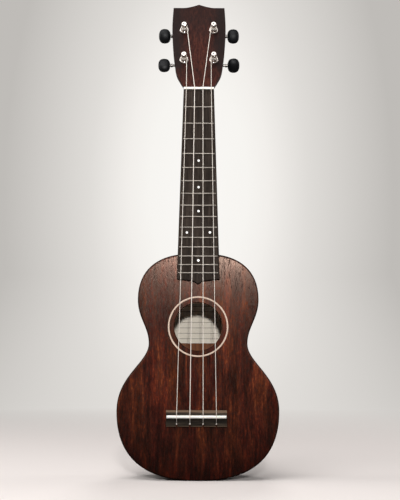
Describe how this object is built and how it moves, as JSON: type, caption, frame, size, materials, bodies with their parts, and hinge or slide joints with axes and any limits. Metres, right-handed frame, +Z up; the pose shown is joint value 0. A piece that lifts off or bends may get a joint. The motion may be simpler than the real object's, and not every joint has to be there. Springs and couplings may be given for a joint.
{
  "type": "soprano ukulele",
  "caption": "Small fretted string instrument with a waisted hollow body, round soundhole, slotted bridge and geared tuners on a headstock that leans back.",
  "frame": {"origin": "centre of the bounding box at its underside: on the centre line, level with the bottom of the body, standing head up", "axes": "+Z up the neck towards the head, -Y out of the soundboard towards the player's audience, +X to the right of someone facing the soundboard"},
  "size_m": [0.1688, 0.0724, 0.5246],
  "materials": {
    "mahogany": "dark stained, semi-gloss",
    "rosewood": "oiled",
    "spruce": "raw",
    "inlay": "flush pale ring",
    "ivory": "polished ivory white",
    "nickel": "polished fret wire",
    "nylon": "clear nylon",
    "black": "moulded black",
    "tuner_nickel": "nickel plated"
  },
  "bodies": {
    "instrument": {"top_plate": "mahogany", "back_plate": "mahogany", "side_left": "mahogany", "side_right": "mahogany", "neck": "mahogany", "fingerboard": "rosewood", "bridge": "rosewood", "front_lining_left": "spruce", "front_lining_right": "spruce", "back_lining_left": "spruce", "back_lining_right": "spruce", "neck_block": "spruce", "tail_block": "spruce", "upper_top_brace": "spruce", "lower_top_brace": "spruce", "upper_back_brace": "spruce", "lower_back_brace": "spruce", "bridge_patch": "spruce", "soundhole_ring": "inlay", "nut": "ivory", "saddle": "ivory", "fret_01": "nickel", "fret_02": "nickel", "fret_03": "nickel", "fret_04": "nickel", "fret_05": "nickel", "fret_06": "nickel", "fret_07": "nickel", "fret_08": "nickel", "fret_09": "nickel", "fret_10": "nickel", "fret_11": "nickel", "fret_12": "nickel", "fret_13": "nickel", "fret_14": "nickel", "fret_15": "nickel", "string_g": "nylon", "string_c": "nylon", "string_e": "nylon", "string_a": "nylon", "bushing_g": "tuner_nickel", "tuner_plate_g": "tuner_nickel", "bushing_c": "tuner_nickel", "tuner_plate_c": "tuner_nickel", "bushing_e": "tuner_nickel", "tuner_plate_e": "tuner_nickel", "bushing_a": "tuner_nickel", "tuner_plate_a": "tuner_nickel"},
    "peg_g": {"worm_shaft_g": "tuner_nickel", "knob_g": "black"},
    "post_g": {"string_post_g": "tuner_nickel"},
    "peg_c": {"worm_shaft_c": "tuner_nickel", "knob_c": "black"},
    "post_c": {"string_post_c": "tuner_nickel"},
    "peg_e": {"worm_shaft_e": "tuner_nickel", "knob_e": "black"},
    "post_e": {"string_post_e": "tuner_nickel"},
    "peg_a": {"worm_shaft_a": "tuner_nickel", "knob_a": "black"},
    "post_a": {"string_post_a": "tuner_nickel"}
  },
  "joints": [
    {"name": "turn_peg_g", "type": "hinge", "parent": "instrument", "child": "peg_g", "pos_m": [-0.0164, 0.00195, 0.4529], "axis": [1, 0, 0], "continuous": true},
    {"name": "wind_post_g", "type": "hinge", "parent": "instrument", "child": "post_g", "pos_m": [-0.0164, -0.01743, 0.45207], "axis": [0, -0.9703, 0.2419], "continuous": true},
    {"name": "turn_peg_c", "type": "hinge", "parent": "instrument", "child": "peg_c", "pos_m": [-0.0164, 0.0115, 0.49123], "axis": [1, 0, 0], "continuous": true},
    {"name": "wind_post_c", "type": "hinge", "parent": "instrument", "child": "post_c", "pos_m": [-0.0164, -0.00788, 0.49039], "axis": [0, -0.9703, 0.2419], "continuous": true},
    {"name": "turn_peg_e", "type": "hinge", "parent": "instrument", "child": "peg_e", "pos_m": [0.0164, 0.0115, 0.49123], "axis": [1, 0, 0], "continuous": true},
    {"name": "wind_post_e", "type": "hinge", "parent": "instrument", "child": "post_e", "pos_m": [0.0164, -0.00788, 0.49039], "axis": [0, -0.9703, 0.2419], "continuous": true},
    {"name": "turn_peg_a", "type": "hinge", "parent": "instrument", "child": "peg_a", "pos_m": [0.0164, 0.00195, 0.4529], "axis": [1, 0, 0], "continuous": true},
    {"name": "wind_post_a", "type": "hinge", "parent": "instrument", "child": "post_a", "pos_m": [0.0164, -0.01743, 0.45207], "axis": [0, -0.9703, 0.2419], "continuous": true}
  ],
  "couplings": [
    {"joint": "wind_post_g", "follows": "turn_peg_g", "ratio": 0.071429},
    {"joint": "wind_post_c", "follows": "turn_peg_c", "ratio": 0.071429},
    {"joint": "wind_post_e", "follows": "turn_peg_e", "ratio": 0.071429},
    {"joint": "wind_post_a", "follows": "turn_peg_a", "ratio": 0.071429}
  ]
}
